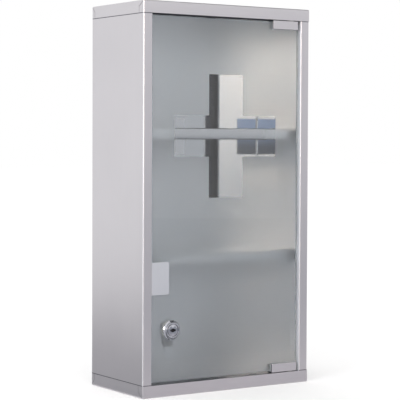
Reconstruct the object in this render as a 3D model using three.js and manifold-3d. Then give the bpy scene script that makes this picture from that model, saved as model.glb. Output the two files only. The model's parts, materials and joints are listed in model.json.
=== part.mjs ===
// A small wall cabinet for medicines: a welded stainless carcass between two lid-like caps,
// two fixed shelves, and a frosted glass door that turns on pivots, with a push latch and a cam lock.
// Millimetres, +Z up. The door faces -Y and the origin is the middle of the underside.
import * as THREE from 'three';
import { mergeVertices } from 'three/addons/utils/BufferGeometryUtils.js';
import Module from 'manifold-3d';

const wasm = await Module();
wasm.setup();

// Carcass
const width = 250;
const depth = 125;
const height = 480;
const sheet = 0.8; // steel sheet of every folded panel
const bend = 1.6; // outside radius of a fold
const seam = 0.1; // gap between two pieces that are welded or clamped together
const fitPlay = 0.1; // radial gap round a riveted, pressed or screwed piece
const capLip = 15; // height of the caps' lips
const tabFront = 10.5; // how far a cap's front lip wraps round onto the side
const tabRear = 7;
const tabDrop = 7.2; // height of the slanted upper part of that seam
const tabSlit = 0.4;
const stileWidth = 12.5; // front frame on each side of the door
const returnDepth = 7; // how far the stile folds back into the opening
const backRecess = 10; // from the rear plane to the inside of the back panel
const cornerRelief = 2.5; // open corner between two flanges of a folded pan

// Wall fixing
const keyholeSpacing = 170;
const keyholeDrop = 60; // from the top of the cabinet to the middle of a keyhole's head
const keyholeHead = 10;
const keyholeSlot = 5;
const keyholeRise = 11; // from the middle of the head to the top of the slot's arc centre
const lowerHole = 5;
const lowerHoleHeight = 60;

// Rivets
const rivetDiameter = 3.2;
const rivetHead = 6.6;
const rivetDome = 1.1;
const rivetBulb = 4.8; // formed end of the rivet
const rivetBulbLength = 2.2;
const backRivetInset = 40; // from the side of the cabinet to the outer rivets of the back

// Shelves
const upperClearance = 138; // from the ceiling down to the upper shelf
const latchRoom = 4; // between the latch and the lower shelf above it
const shelfLip = 14;
const shelfHem = 7; // return under the lip
const shelfRearFlange = 10;
const shelfSideGap = 0.4;
const bracketSheet = 1.2;
const bracketLeg = 12;
const bracketMargin = 14; // from each end of the bracket to the shelf's front and rear

// Glass door
const glassInset = 4.7; // from the cabinet's front plane to the glass
const glassThickness = 4;
const glassChamfer = 0.4;
const sideGap = 2.2; // between the glass and the stiles
const endGap = 2.6; // between the glass and the caps
const etchDepth = 0.15; // the blasted ground lies this far below the clear cross
const crossSize = 153;
const crossArm = 51;
const crossDrop = 145.2; // from the top of the glass to the middle of the cross

// Pivot hinges
const pivotInset = 11.4; // from the hinge edge of the glass to the pivot
const swingClearance = 1.8; // between the turning edge of the glass and the shelves
const clipInset = 2; // from the hinge edge of the glass to the end of the clip
const clipLength = 39;
const clipReach = 11.2; // height of the clip's jaws
const jaw = 3; // thickness of each jaw
const clipGap = 0.6; // between the clip and the ceiling or floor panel
const clipRounding = 0.7;
const gasket = 0.5;
const pinDiameter = 4;
const pinPlay = 0.06; // radial, in the bush
const pinLength = 10;
const bushWall = 1.5;
const bushLength = 8;
const bushFlange = 0.4;
const bushFlangeWidth = 1.6;
const grubDiameter = 4;
const grubSocket = 2; // across the flats of the hexagon socket
const grubSpacing = 20;

// Strike clip on the free edge
const strikeHeight = 129; // from the floor panel to the middle of the clip
const strikeLength = 40;
const strikeFrontLeg = 24;
const strikeRearLeg = 18;
const strikeSheet = 0.8;
const strikeCorner = 2.3;

// Push latch
const latchInset = 10; // from the free edge of the glass to the plunger
const latchGap = 0.3; // between the plunger and the strike clip at rest
const latchTravel = 3;
const plungerDiameter = 8;
const plungerProud = 4;
const plungerLength = 24;
const plungerPlay = 0.1; // radial, in the bore
const magnetDiameter = 6;
const magnetLength = 3;
const springSeat = 4; // depth of the pocket in the plunger's rear end
const springWire = 0.8;
const springDiameter = 5.2; // at the middle of the wire
const springTurns = 9;
const springRoom = 15; // left for the spring when the plunger is pushed in
const housingFloor = 8; // behind the bore
const housingWidth = 16;
const housingHeight = 18;
const housingCorner = 2.5;
const latchLeg = 14; // upright leg of the bracket, against the wall
const latchScrewDiameter = 2.9;
const latchScrewLength = 3.5; // engaged in the housing
const latchScrewHead = 5.6;
const latchScrewHeadHeight = 1.8;
const latchScrewSpacing = 26;

// Cam lock
const lockInset = 27.6; // from the free edge of the glass to the lock
const lockHeight = 65.4; // from the floor panel to the lock
const bezelBase = 24;
const bezelFront = 20.5;
const bezelHeight = 3.9;
const bezelRim = 0.8; // straight rim at the foot of the cone
const bezelRounding = 0.6;
const lockGasket = 0.5;
const threadDiameter = 16;
const glassHolePlay = 0.5; // radial, round the thread
const threadPlay = 0.2; // radial, in the gaskets and the nut
const lockWasher = 1;
const washerDiameter = 25;
const nutFlats = 22;
const nutThickness = 4.5;
const barrelTail = 3; // thread that stands out behind the nut
const plugHead = 15;
const plugHeadDepth = 2.5;
const plugDiameter = 11;
const plugPlay = 0.08; // radial
const plugSink = 0.3; // from the face of the bezel to the face of the plug
const keywayWidth = 8;
const keywayHeight = 2.4;
const keywayDepth = 11;
const wardWidth = 2.2; // round middle of the keyway is this much taller
const camSheet = 2;
const camWidth = 14;
const camHeel = 8; // behind the axis
const camCrank = 15; // from the axis to the start of the crank
const camSlope = 7;
const camBend = 3;
const camCorner = 5;
const camOverlap = 6; // how far the tip reaches behind the stile's return
const camBehind = 2; // between the return and the cam
const squareDrive = 7;
const drivePlay = 0.15;
const camScrewDiameter = 4;
const camScrewDepth = 7;
const camScrewHead = 9;
const camScrewHeadHeight = 2.4;

// Facets of arcs
const bendSteps = 4;
const roundSteps = 28;
const smallRoundSteps = 14;

// Places that follow from the sizes above
const front = -depth / 2;
const rear = depth / 2;
const panelX = width / 2 - sheet - seam; // outside of a side panel
const panelFront = front + sheet + seam; // front of a stile
const panelRear = rear - bend; // clear of the round corner inside a cap
const wallX = panelX - sheet; // inside of a side panel
const openX = panelX - stileWidth; // the opening's side, at the stile's return
const returnRear = panelFront + returnDepth;
const backFace = rear - backRecess;
const floorZ = capLip;
const ceilingZ = height - capLip;
const panHeight = capLip - bend; // flanges of the ceiling and floor panels

const glassFront = front + glassInset;
const glassRear = glassFront + glassThickness;
const glassRight = openX - sideGap;
const glassLeft = -glassRight;
const glassBottom = floorZ + endGap;
const glassTop = ceilingZ - endGap;
const crossZ = glassTop - crossDrop;
const pivotX = glassRight - pivotInset;
const pivotY = (glassFront + glassRear) / 2;
const swingRadius = Math.hypot(pivotInset, glassThickness / 2);

const shelfFront = pivotY + swingRadius + swingClearance;
const shelfRear = backFace - seam;
const upperShelfZ = ceilingZ - upperClearance;

const lockX = glassLeft + lockInset;
const lockZ = floorZ + lockHeight;
const strikeZ = floorZ + strikeHeight;
const lowerShelfZ = strikeZ + housingHeight / 2 + latchRoom + shelfLip;
const strikeRearFace = glassRear + seam + strikeSheet;

const xAxis = new THREE.Vector3(1, 0, 0);
const yAxis = new THREE.Vector3(0, 1, 0);
const zAxis = new THREE.Vector3(0, 0, 1);

// Colours and finishes
const finishes = {
  satinSteel: { color: 0xbdb6bb, roughness: 0.42, metalness: 0.9 },
  polishedSteel: { color: 0xc9cacd, roughness: 0.12, metalness: 1 },
  zincSteel: { color: 0xaeb1b5, roughness: 0.35, metalness: 1 },
  chrome: { color: 0xd8dade, roughness: 0.06, metalness: 1 },
  darkSteel: { color: 0x6e7176, roughness: 0.4, metalness: 1 },
  frostedGlass: { color: 0x9fa6a8, roughness: 0.5, metalness: 0 },
  clearRubber: { color: 0xb9bdbf, roughness: 0.6, metalness: 0 },
  whiteNylon: { color: 0xe4e3df, roughness: 0.5, metalness: 0 },
  greyPlastic: { color: 0x8f9396, roughness: 0.5, metalness: 0 },
  magnet: { color: 0x54565a, roughness: 0.3, metalness: 1 },
};

// Solids

// One closed skin: shared corners merged, flat triangles dropped, faces outwards.
function closedSkin(geometry) {
  const bare = new THREE.BufferGeometry();
  bare.setAttribute('position', geometry.attributes.position);
  if (geometry.index) {
    bare.setIndex(geometry.index);
  }
  const merged = mergeVertices(bare, 1e-4);
  const corners = merged.index.array;
  const points = merged.attributes.position;
  const faces = [];
  const a = new THREE.Vector3();
  const b = new THREE.Vector3();
  const c = new THREE.Vector3();
  let volume = 0;
  for (let i = 0; i < corners.length; i += 3) {
    const [p, q, r] = [corners[i], corners[i + 1], corners[i + 2]];
    if (p === q || q === r || r === p) {
      continue;
    }
    faces.push([p, q, r]);
    a.fromBufferAttribute(points, p);
    b.fromBufferAttribute(points, q);
    c.fromBufferAttribute(points, r);
    volume += a.dot(b.cross(c));
  }
  merged.setIndex(faces.flatMap(([p, q, r]) => (volume > 0 ? [p, q, r] : [p, r, q])));
  return merged;
}

function solidOf(geometry) {
  const skin = closedSkin(geometry);
  const mesh = new wasm.Mesh({
    numProp: 3,
    vertProperties: new Float32Array(skin.attributes.position.array),
    triVerts: new Uint32Array(skin.index.array),
  });
  return new wasm.Manifold(mesh);
}

function geometryOf(solid) {
  const mesh = solid.getMesh();
  const geometry = new THREE.BufferGeometry();
  geometry.setAttribute('position', new THREE.BufferAttribute(mesh.vertProperties, 3));
  geometry.setIndex(new THREE.BufferAttribute(mesh.triVerts, 1));
  return geometry;
}

function cut(geometry, ...tools) {
  let solid = solidOf(geometry);
  for (const tool of tools) {
    solid = solid.subtract(solidOf(tool));
  }
  return geometryOf(solid);
}

function common(geometry, ...others) {
  let solid = solidOf(geometry);
  for (const other of others) {
    solid = solid.intersect(solidOf(other));
  }
  return geometryOf(solid);
}

function join(geometry, ...others) {
  let solid = solidOf(geometry);
  for (const other of others) {
    solid = solid.add(solidOf(other));
  }
  return geometryOf(solid);
}

// A shape drawn in the plane across the axis, pushed from one place on the axis to another.
// Along X it is drawn in (y, z), along Y in (x, z) and along Z in (x, y).
function extrude(shape, axis, from, to, chamfer = 0) {
  const geometry = new THREE.ExtrudeGeometry(shape, {
    depth: to - from - 2 * chamfer,
    steps: 1,
    curveSegments: bendSteps,
    bevelEnabled: chamfer > 0,
    bevelSize: chamfer,
    bevelOffset: -chamfer,
    bevelThickness: chamfer,
    bevelSegments: 1,
  });
  geometry.translate(0, 0, chamfer);
  const turn = new THREE.Matrix4();
  if (axis === 'x') {
    turn.makeBasis(yAxis, zAxis, xAxis).setPosition(from, 0, 0);
  } else if (axis === 'y') {
    turn.makeBasis(xAxis, zAxis, yAxis.clone().negate()).setPosition(0, to, 0);
  } else {
    turn.setPosition(0, 0, from);
  }
  return geometry.applyMatrix4(turn);
}

function block(x, y, z) {
  const geometry = new THREE.BoxGeometry(x[1] - x[0], y[1] - y[0], z[1] - z[0]);
  return geometry.translate((x[0] + x[1]) / 2, (y[0] + y[1]) / 2, (z[0] + z[1]) / 2);
}

// A bar round the Y axis, from one place on it to another.
function rod(diameter, from, to, steps = smallRoundSteps) {
  const geometry = new THREE.CylinderGeometry(diameter / 2, diameter / 2, to - from, steps);
  return geometry.translate(0, (from + to) / 2, 0);
}

// A body turned round the Y axis; the profile is a closed list of (radius, place on the axis).
function turned(profile, steps = roundSteps) {
  const points = profile.map(([radius, along]) => new THREE.Vector2(radius, along));
  points.push(points[0].clone());
  return new THREE.LatheGeometry(points, steps);
}

function upright(geometry) {
  return geometry.rotateX(Math.PI / 2);
}

function polygon(points) {
  return new THREE.Shape(points.map(([u, v]) => new THREE.Vector2(u, v)));
}

function rectangle(u, v) {
  return polygon([[u[0], v[0]], [u[1], v[0]], [u[1], v[1]], [u[0], v[1]]]);
}

// A rectangle with an arc at each corner; radii start at the low corner and go anticlockwise.
function roundedRectangle(u, v, radii) {
  const [r0, r1, r2, r3] = Array.isArray(radii) ? radii : [radii, radii, radii, radii];
  const quarter = Math.PI / 2;
  const shape = new THREE.Shape();
  const corner = (cu, cv, radius, start) => {
    if (radius > 0) {
      shape.absarc(cu, cv, radius, start, start + quarter, false);
    } else {
      shape.lineTo(cu, cv);
    }
  };
  shape.moveTo(u[0] + r0, v[0]);
  corner(u[1] - r1, v[0] + r1, r1, -quarter);
  corner(u[1] - r2, v[1] - r2, r2, 0);
  corner(u[0] + r3, v[1] - r3, r3, quarter);
  corner(u[0] + r0, v[0] + r0, r0, 2 * quarter);
  return shape;
}

// The section of a folded sheet. The path runs along the middle of the sheet.
function foldedSheet(path, thickness, radius) {
  const points = path.map(([u, v]) => new THREE.Vector2(u, v));
  const leftSide = [];
  const rightSide = [];
  const put = (point, normal) => {
    leftSide.push(point.clone().addScaledVector(normal, thickness / 2));
    rightSide.push(point.clone().addScaledVector(normal, -thickness / 2));
  };
  const heading = (i) => points[i + 1].clone().sub(points[i]).normalize();
  const leftOf = (direction) => new THREE.Vector2(-direction.y, direction.x);
  put(points[0], leftOf(heading(0)));
  for (let i = 1; i < points.length - 1; i += 1) {
    const arrive = heading(i - 1);
    const leave = heading(i);
    const turn = Math.atan2(arrive.cross(leave), arrive.dot(leave));
    const side = Math.sign(turn);
    const middleRadius = radius - thickness / 2;
    const setback = middleRadius * Math.tan(Math.abs(turn) / 2);
    const start = points[i].clone().addScaledVector(arrive, -setback);
    const centre = start.clone().addScaledVector(leftOf(arrive), side * middleRadius);
    for (let step = 0; step <= bendSteps; step += 1) {
      const angle = (turn * step) / bendSteps;
      const normal = leftOf(arrive).rotateAround(new THREE.Vector2(), angle);
      put(centre.clone().addScaledVector(normal, -side * middleRadius), normal);
    }
  }
  put(points[points.length - 1], leftOf(heading(points.length - 2)));
  return new THREE.Shape([...leftSide, ...rightSide.reverse()]);
}

// A block whose edges are round on its closed end, z = 0, and down its four corners.
function panBlock(x, y, tall, radius) {
  const plan = extrude(roundedRectangle(x, y, radius), 'z', 0, tall);
  const across = extrude(roundedRectangle(x, [0, tall], [radius, radius, 0, 0]), 'y', y[0], y[1]);
  const along = extrude(roundedRectangle(y, [0, tall], [radius, radius, 0, 0]), 'x', x[0], x[1]);
  return common(plan, across, along);
}

// A folded pan, open upwards, whose sheet lies on z = 0.
function pan(x, y, tall) {
  const inner = panBlock(
    [x[0] + sheet, x[1] - sheet],
    [y[0] + sheet, y[1] - sheet],
    tall,
    bend - sheet,
  );
  return cut(panBlock(x, y, tall, bend), inner.translate(0, 0, sheet));
}

// Scene graph

const cabinet = new THREE.Group();

function place(parent, name, finish, geometry, position = [0, 0, 0]) {
  const mesh = new THREE.Mesh(closedSkin(geometry), new THREE.MeshStandardMaterial(finishes[finish]));
  mesh.name = name;
  mesh.position.set(...position);
  parent.add(mesh);
  return mesh;
}

// Caps: trays with a slit at each corner, where the front and rear lips wrap round onto the sides.
function cap() {
  const slits = [];
  for (const [edge, inward, tab] of [[front, 1, tabFront], [rear, -1, tabRear]]) {
    const path = [
      [edge + inward * bend, bend],
      [edge + inward * tab, tabDrop],
      [edge + inward * tab, capLip + sheet],
    ];
    const slit = foldedSheet(path, tabSlit, 1.5 * tabSlit);
    slits.push(extrude(slit, 'x', -width, -width / 2 + bend));
    slits.push(extrude(slit, 'x', width / 2 - bend, width));
  }
  return cut(pan([-width / 2, width / 2], [front, rear], capLip), ...slits);
}

place(cabinet, 'bottom_cap', 'satinSteel', cap());
place(cabinet, 'top_cap', 'satinSteel', cap(), [0, 0, height]).rotation.y = Math.PI;

// Side panels: wall, stile and return are one folded sheet.
for (const [name, side] of [['left_side_panel', -1], ['right_side_panel', 1]]) {
  const half = sheet / 2;
  const path = [
    [side * (openX + half), returnRear],
    [side * (openX + half), panelFront + half],
    [side * (panelX - half), panelFront + half],
    [side * (panelX - half), panelRear],
  ];
  place(cabinet, name, 'satinSteel', extrude(foldedSheet(path, sheet, bend), 'z', bend, height - bend));
}

const rivetHole = rivetDiameter + 2 * fitPlay;
const rivetLine = (sheet + panHeight) / 2; // from the ceiling or floor panel to its rivets
const backRivetX = width / 2 - backRivetInset;
const backRivets = [-backRivetX, 0, backRivetX];

// Back panel: a pan with its flanges to the rear, hung on two keyholes.
function backPanel() {
  const across = wallX - seam;
  const upDown = height / 2 - sheet - seam;
  const flat = pan([-across, across], [-upDown, upDown], panelRear - backFace);
  const turn = new THREE.Matrix4().makeBasis(xAxis, zAxis.clone().negate(), yAxis);
  flat.applyMatrix4(turn.setPosition(0, backFace, height / 2));
  const through = [backFace - sheet, backFace + 2 * sheet];
  const tools = [];
  for (const side of [-1, 1]) {
    const x = (side * keyholeSpacing) / 2;
    const z = height - keyholeDrop;
    const slotHalf = keyholeSlot / 2;
    tools.push(rod(keyholeHead, ...through, roundSteps).translate(x, 0, z));
    tools.push(block([x - slotHalf, x + slotHalf], through, [z, z + keyholeRise]));
    tools.push(rod(keyholeSlot, ...through).translate(x, 0, z + keyholeRise));
    tools.push(rod(lowerHole, ...through).translate(x, 0, lowerHoleHeight));
    for (const cornerZ of [height / 2 - upDown, height / 2 + upDown]) {
      tools.push(block(
        [side * across - cornerRelief, side * across + cornerRelief],
        [backFace - sheet, rear],
        [cornerZ - cornerRelief, cornerZ + cornerRelief],
      ));
    }
  }
  for (const x of backRivets) {
    tools.push(rod(rivetHole, ...through).translate(x, 0, floorZ - rivetLine));
    tools.push(rod(rivetHole, ...through).translate(x, 0, ceilingZ + rivetLine));
  }
  return cut(flat, ...tools);
}

place(cabinet, 'back_panel', 'polishedSteel', backPanel());

const bushDiameter = pinDiameter + 2 * pinPlay + 2 * bushWall;

// Ceiling and floor panels: pans notched round the stiles, with a hole for the hinge bush.
function innerPanel(bushX) {
  const across = wallX - seam;
  const panelBack = backFace - seam;
  const notchX = openX - seam;
  const notchY = returnRear + seam;
  const tools = [];
  for (const side of [-1, 1]) {
    const notch = side < 0 ? [-width, -notchX] : [notchX, width];
    tools.push(block(notch, [front, notchY], [-sheet, capLip]));
    tools.push(block(
      [side * across - cornerRelief, side * across + cornerRelief],
      [panelBack - cornerRelief, panelBack + cornerRelief],
      [-sheet, capLip],
    ));
  }
  for (const x of backRivets) {
    const hole = rod(rivetHole, panelBack - 2 * sheet, panelBack + sheet);
    tools.push(hole.translate(x, 0, rivetLine));
  }
  const bushHole = upright(rod(bushDiameter + 2 * fitPlay, -sheet, 2 * sheet, roundSteps));
  tools.push(bushHole.translate(bushX, pivotY, 0));
  return cut(pan([-across, across], [panelFront, panelBack], panHeight), ...tools);
}

place(cabinet, 'ceiling_panel', 'polishedSteel', innerPanel(pivotX), [0, 0, ceilingZ]);
place(cabinet, 'floor_panel', 'polishedSteel', innerPanel(-pivotX), [0, 0, floorZ]).rotation.y = Math.PI;

// A blind rivet along Y. Its head lies on the face at y = 0 and it grips a stack in front of that.
function rivet(grip) {
  const shank = rivetDiameter / 2;
  const head = rivetHead / 2;
  const bulb = rivetBulb / 2;
  return turned([
    [0, seam + rivetDome],
    [head * 0.6, seam + rivetDome * 0.8],
    [head, seam + rivetDome * 0.25],
    [head, seam],
    [shank, seam],
    [shank, -grip - seam],
    [bulb, -grip - seam - rivetBulbLength * 0.3],
    [bulb * 0.9, -grip - seam - rivetBulbLength * 0.8],
    [0, -grip - seam - rivetBulbLength],
  ], smallRoundSteps);
}

const backGrip = 2 * sheet + seam;
backRivets.forEach((x, i) => {
  const y = backFace + sheet;
  place(cabinet, `back_rivet_top_${i + 1}`, 'zincSteel', rivet(backGrip), [x, y, ceilingZ + rivetLine]);
  place(cabinet, `back_rivet_bottom_${i + 1}`, 'zincSteel', rivet(backGrip), [x, y, floorZ - rivetLine]);
});

// Shelves: a deep hemmed lip at the front and a flange at the back.
const rivetX = wallX - seam - bracketLeg / 2;
const shelfMiddle = (shelfFront + shelfRear) / 2;

function shelf() {
  const half = sheet / 2;
  const path = [
    [shelfFront + shelfHem, half - shelfLip],
    [shelfFront + half, half - shelfLip],
    [shelfFront + half, -half],
    [shelfRear - half, -half],
    [shelfRear - half, -shelfRearFlange],
  ];
  const across = wallX - shelfSideGap;
  const board = extrude(foldedSheet(path, sheet, bend), 'x', -across, across);
  const holes = [-rivetX, rivetX].map((x) => {
    return upright(rod(rivetHole, -2 * sheet, sheet)).translate(x, shelfMiddle, 0);
  });
  return cut(board, ...holes);
}

// An angle welded to the wall under the shelf; its top is z = 0.
function shelfBracket(side) {
  const half = bracketSheet / 2;
  const wall = wallX - seam;
  const path = [
    [side * (wall - half), -bracketLeg],
    [side * (wall - half), -half],
    [side * (wall - bracketLeg), -half],
  ];
  const angle = foldedSheet(path, bracketSheet, bend + bracketSheet / 2);
  const bar = extrude(angle, 'y', shelfFront + bracketMargin, shelfRear - bracketMargin);
  const hole = upright(rod(rivetHole, -2 * bracketSheet, bracketSheet));
  return cut(bar, hole.translate(side * rivetX, shelfMiddle, 0));
}

for (const [level, z] of [['upper', upperShelfZ], ['lower', lowerShelfZ]]) {
  place(cabinet, `${level}_shelf`, 'polishedSteel', shelf(), [0, 0, z]);
  for (const [name, side] of [['left', -1], ['right', 1]]) {
    const under = [0, 0, z - sheet - seam];
    place(cabinet, `shelf_bracket_${level}_${name}`, 'polishedSteel', shelfBracket(side), under);
    const grip = sheet + seam + bracketSheet;
    const top = [side * rivetX, shelfMiddle, z];
    place(cabinet, `shelf_rivet_${level}_${name}`, 'zincSteel', upright(rivet(grip)), top);
  }
}

// Hinge bushes: flanged sleeves pushed into the ceiling and floor panels.
function hingeBush() {
  const bore = pinDiameter / 2 + pinPlay;
  const outside = bushDiameter / 2;
  const flange = outside + bushFlangeWidth;
  return upright(turned([
    [bore, -bushFlange - seam],
    [flange, -bushFlange - seam],
    [flange, -seam],
    [outside, -seam],
    [outside, bushLength],
    [bore, bushLength],
  ]));
}

place(cabinet, 'hinge_bush_top', 'whiteNylon', hingeBush(), [pivotX, pivotY, ceilingZ]);
place(cabinet, 'hinge_bush_bottom', 'whiteNylon', hingeBush(), [pivotX, pivotY, floorZ]).rotation.x = Math.PI;

// Door: everything on it turns about the pivot line, which is the group's own Z axis.
const door = new THREE.Group();
door.position.set(pivotX, pivotY, 0);
cabinet.add(door);

const doorLeft = glassLeft - pivotX;
const doorRight = glassRight - pivotX;
const doorFront = glassFront - pivotY;
const doorRear = glassRear - pivotY;

function doorGlass() {
  const pane = extrude(
    rectangle([doorLeft, doorRight], [glassBottom, glassTop]),
    'y',
    doorFront,
    doorRear,
    glassChamfer,
  );
  const crossX = (doorLeft + doorRight) / 2;
  const ground = rectangle([doorLeft - sideGap, doorRight + sideGap], [floorZ, ceilingZ]);
  const long = crossSize / 2;
  const wide = crossArm / 2;
  const outline = [
    [-wide, -long], [wide, -long], [wide, -wide], [long, -wide], [long, wide], [wide, wide],
    [wide, long], [-wide, long], [-wide, wide], [-long, wide], [-long, -wide], [-wide, -wide],
  ];
  ground.holes.push(polygon(outline.map(([u, v]) => [crossX + u, crossZ + v])));
  const blasted = extrude(ground, 'y', doorRear - etchDepth, doorRear + sheet);
  const lockHole = rod(threadDiameter + 2 * glassHolePlay, doorFront - sheet, doorRear + sheet, roundSteps);
  return cut(pane, blasted, lockHole.translate(lockX - pivotX, 0, lockZ));
}

place(door, 'door_glass', 'frostedGlass', doorGlass());

// Strike clip: a strip folded round the free edge, with round corners on its front leg.
function strikeClip() {
  const half = strikeSheet / 2;
  const outside = doorLeft - seam - half;
  const frontLine = doorFront - seam - half;
  const rearLine = doorRear + seam + half;
  const path = [
    [doorLeft + strikeFrontLeg, frontLine],
    [outside, frontLine],
    [outside, rearLine],
    [doorLeft + strikeRearLeg, rearLine],
  ];
  const z = [strikeZ - strikeLength / 2, strikeZ + strikeLength / 2];
  const strip = extrude(foldedSheet(path, strikeSheet, strikeSheet * 1.25), 'z', z[0], z[1]);
  const plan = [outside - half, doorLeft + strikeFrontLeg];
  const frontFace = roundedRectangle(plan, z, [0, strikeCorner, strikeCorner, 0]);
  return common(strip, extrude(frontFace, 'y', frontLine - strikeSheet, rearLine + strikeSheet));
}

place(door, 'strike_clip', 'polishedSteel', strikeClip());

// Pivot hinges: a clip clamps each end of the hinge edge. Up is 1 at the top and -1 at the bottom.
const clipRight = doorRight - clipInset;
const clipLeft = clipRight - clipLength;
const jawInner = gasket + seam; // from the glass to a jaw
const clipFront = doorFront - jawInner - jaw;
const clipRear = doorRear + jawInner + jaw;
const grubHoles = [-grubSpacing / 2, grubSpacing / 2].map((x) => (clipLeft + clipRight) / 2 + x);

function hingeClip(up, end) {
  const outer = end - up * clipGap;
  const glassEnd = end - up * endGap;
  const foot = outer - up * clipReach;
  const low = Math.min(outer, foot);
  const high = Math.max(outer, foot);
  const body = roundedRectangle([clipFront, clipRear], [low, high], clipRounding);
  const slotEnd = glassEnd + up * jawInner;
  const slotFoot = foot - up * jaw;
  const slot = [Math.min(slotEnd, slotFoot), Math.max(slotEnd, slotFoot)];
  const grip = block([clipLeft - jaw, clipRight + jaw], [doorFront - jawInner, doorRear + jawInner], slot);
  const pinHole = upright(rod(pinDiameter + 2 * fitPlay, low - jaw, high + jaw, roundSteps));
  const tools = [grip, pinHole];
  for (const x of grubHoles) {
    const hole = rod(grubDiameter + 2 * fitPlay, doorRear, clipRear + jaw);
    tools.push(hole.translate(x, 0, foot + (up * clipReach) / 2));
  }
  return cut(extrude(body, 'x', clipLeft, clipRight), ...tools);
}

// A soft liner between the jaws and the glass.
function hingeGasket(up, end) {
  const middle = jawInner / 2; // from the glass to the middle of the liner
  const across = end - up * (endGap - middle);
  const foot = end - up * (clipGap + clipReach);
  const path = [
    [doorFront - middle, foot],
    [doorFront - middle, across],
    [doorRear + middle, across],
    [doorRear + middle, foot],
  ];
  return extrude(foldedSheet(path, gasket, 1.2 * gasket), 'x', clipLeft, clipRight);
}

// A pivot pin pressed into the clip; z = 0 is the ceiling or floor, and it points up from there.
function hingePin() {
  const radius = pinDiameter / 2;
  const start = jawInner - endGap;
  const tip = start + pinLength;
  return upright(turned([
    [0, start],
    [radius, start],
    [radius, tip - radius / 2],
    [radius / 2, tip],
    [0, tip],
  ]));
}

// A grub screw with a hexagon socket in its rear end.
function grubScrew() {
  const inner = doorRear + jawInner;
  const outer = clipRear - fitPlay;
  const socket = new THREE.CylinderGeometry(grubSocket / Math.sqrt(3), grubSocket / Math.sqrt(3), jaw, 6);
  return cut(rod(grubDiameter, inner, outer), socket.translate(0, outer, 0));
}

for (const [name, up, end] of [['top', 1, ceilingZ], ['bottom', -1, floorZ]]) {
  place(door, `hinge_clip_${name}`, 'satinSteel', hingeClip(up, end));
  place(door, `hinge_gasket_${name}`, 'clearRubber', hingeGasket(up, end));
  const pin = place(door, `hinge_pin_${name}`, 'zincSteel', hingePin(), [0, 0, end]);
  pin.rotation.x = up > 0 ? 0 : Math.PI;
  const grubZ = end - up * (clipGap + clipReach / 2);
  grubHoles.forEach((x, i) => {
    place(door, `hinge_grub_screw_${name}_${i + 1}`, 'darkSteel', grubScrew(), [x, 0, grubZ]);
  });
}

// Lock: its own frame has the axis along Y, with y = 0 on the front of the glass.
const lock = new THREE.Group();
lock.position.set(lockX - pivotX, doorFront, lockZ);
door.add(lock);

const bezelSeat = -lockGasket - 2 * seam;
const bezelFace = bezelSeat - bezelHeight;
const washerSeat = glassThickness + seam;
const washerEnd = washerSeat + lockWasher;
const nutSeat = washerEnd + seam;
const barrelEnd = nutSeat + nutThickness + barrelTail;
const plugFace = bezelFace + plugSink;
const camFront = barrelEnd + drivePlay;
const camRear = camFront + camSheet;
const camTip = returnRear + camBehind - glassFront; // front of the cam behind the stile's return
const camReach = lockX + openX + sheet + camOverlap;

function lockBarrel() {
  const bore = plugDiameter / 2 + plugPlay;
  const recess = plugHead / 2 + plugPlay;
  const thread = threadDiameter / 2;
  const base = bezelBase / 2;
  const face = bezelFront / 2;
  return turned([
    [bore, barrelEnd],
    [thread, barrelEnd],
    [thread, bezelSeat],
    [base, bezelSeat],
    [base, bezelSeat - bezelRim],
    [face + bezelRounding * 0.4, bezelFace + bezelRounding],
    [face - bezelRounding * 0.4, bezelFace + bezelRounding * 0.2],
    [face - bezelRounding, bezelFace],
    [recess + bezelRounding, bezelFace],
    [recess, bezelFace + bezelRounding],
    [recess, plugFace + plugHeadDepth + plugPlay],
    [bore, plugFace + plugHeadDepth + plugPlay],
  ]);
}

function flatRing(inside, outside, from, to) {
  return turned([[inside / 2, from], [outside / 2, from], [outside / 2, to], [inside / 2, to]]);
}

function lockNut() {
  const corner = nutFlats / Math.sqrt(3);
  const hexagon = new THREE.CylinderGeometry(corner, corner, nutThickness, 6);
  const hole = rod(threadDiameter + 2 * threadPlay, -nutThickness, nutThickness, roundSteps);
  return cut(hexagon, hole).translate(0, nutSeat + nutThickness / 2, 0);
}

// The plug has a head in the bezel, a shaft in the barrel and a square tail for the cam.
function lockPlug() {
  const shaft = plugDiameter / 2;
  const head = plugHead / 2;
  const body = turned([
    [0, plugFace],
    [head - bezelRounding, plugFace],
    [head, plugFace + bezelRounding],
    [head, plugFace + plugHeadDepth],
    [shaft, plugFace + plugHeadDepth],
    [shaft, barrelEnd],
    [0, barrelEnd],
  ]);
  const half = squareDrive / 2;
  const tail = block([-half, half], [barrelEnd - camSheet, camRear], [-half, half]);
  const slot = [plugFace - sheet, plugFace + keywayDepth];
  const blade = block([-keywayWidth / 2, keywayWidth / 2], slot, [-keywayHeight / 2, keywayHeight / 2]);
  const ward = rod(keywayHeight + wardWidth, ...slot);
  const tapped = rod(camScrewDiameter + 2 * drivePlay, camRear - camScrewDepth, camRear + camSheet);
  return cut(join(body, tail), blade, ward, tapped);
}

// The cam hangs down when the door is free, and turns behind the stile's return to lock it.
function lockCam() {
  const half = camSheet / 2;
  const path = [
    [camFront + half, camHeel],
    [camFront + half, -camCrank],
    [camTip + half, -camCrank - camSlope],
    [camTip + half, -camReach],
  ];
  const strip = extrude(foldedSheet(path, camSheet, camBend), 'x', -camWidth / 2, camWidth / 2);
  const plan = roundedRectangle([-camWidth / 2, camWidth / 2], [-camReach, camHeel], camCorner);
  const rounded = common(strip, extrude(plan, 'y', camTip - camSheet, camRear + camSheet));
  const hole = squareDrive / 2 + drivePlay;
  return cut(rounded, block([-hole, hole], [camFront - camSheet, camRear + camSheet], [-hole, hole]));
}

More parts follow.
